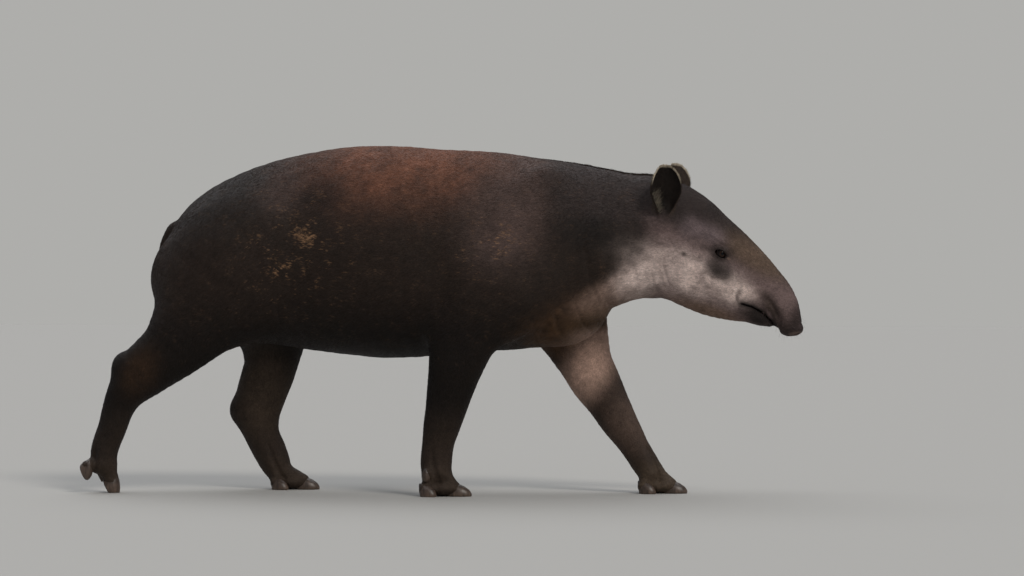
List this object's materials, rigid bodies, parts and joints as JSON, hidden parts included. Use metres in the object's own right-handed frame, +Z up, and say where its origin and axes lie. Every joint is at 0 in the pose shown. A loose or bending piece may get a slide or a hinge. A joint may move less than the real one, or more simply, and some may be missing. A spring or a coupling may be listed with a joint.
{
  "type": "baird's tapir",
  "caption": "Life-size still model of an adult tapir in mid-stride, long drooping snout, round cupped ears, stub tail and separate hooves, standing by itself.",
  "frame": {"origin": "on the floor, below the middle of the whole animal's box", "axes": "+X towards the head, +Y to the animal's left, +Z up"},
  "size_m": [2.191, 0.491, 1.06],
  "materials": {
    "body_hide": "short, flat, dark chocolate-brown coat over thick hide, with a soft low sheen",
    "face_hide": "short mottled coat, pale grey-beige on cheeks and throat, grey-brown on the forehead",
    "snout_hide": "bare-looking, wrinkled purple-grey-brown hide with very short hair",
    "ears": "dark short hair with a cream rim, near-black inside the cup",
    "eyes": "wet, very dark brown eye",
    "hooves": "grey-brown horn with fine growth lines, worn and scuffed at the edge"
  },
  "bodies": {
    "root": {"ear_left": "ears", "ear_right": "ears", "eye_left": "eyes", "eye_right": "eyes", "head": "face_hide", "hoof_front_left_inner": "hooves", "hoof_front_left_middle": "hooves", "hoof_front_left_outer": "hooves", "hoof_front_left_small": "hooves", "hoof_front_right_inner": "hooves", "hoof_front_right_middle": "hooves", "hoof_front_right_outer": "hooves", "hoof_front_right_small": "hooves", "hoof_hind_left_inner": "hooves", "hoof_hind_left_middle": "hooves", "hoof_hind_left_outer": "hooves", "hoof_hind_right_inner": "hooves", "hoof_hind_right_middle": "hooves", "hoof_hind_right_outer": "hooves", "leg_front_left": "body_hide", "leg_front_right": "body_hide", "leg_hind_left": "body_hide", "leg_hind_right": "body_hide", "neck": "body_hide", "snout": "snout_hide", "tail": "body_hide", "torso": "body_hide"}
  },
  "joints": []
}
